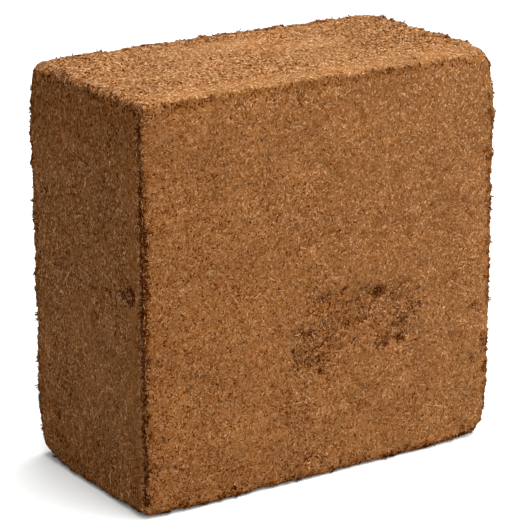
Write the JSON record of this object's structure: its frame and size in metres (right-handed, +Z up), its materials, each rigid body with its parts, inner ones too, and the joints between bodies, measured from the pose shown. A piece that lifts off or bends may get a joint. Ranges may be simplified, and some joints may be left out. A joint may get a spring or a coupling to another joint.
{
  "type": "coconut coir bale",
  "caption": "Square pressed block of coconut husk fibre and pith, standing on a narrow side, with ragged edges and a shallow torn patch on its front.",
  "frame": {"origin": "middle of the foot that the bale stands on", "axes": "+Z up; the wide faces look along -Y (the front, with the torn patch) and +Y; the narrow upright sides look along -X and +X"},
  "size_m": [0.3, 0.156, 0.296],
  "materials": {
    "coir": "matt, rough pressed husk fibre and crumbly pith, red-brown with golden and dark flecks"
  },
  "bodies": {
    "root": {"coir_bale": "coir"}
  },
  "joints": []
}
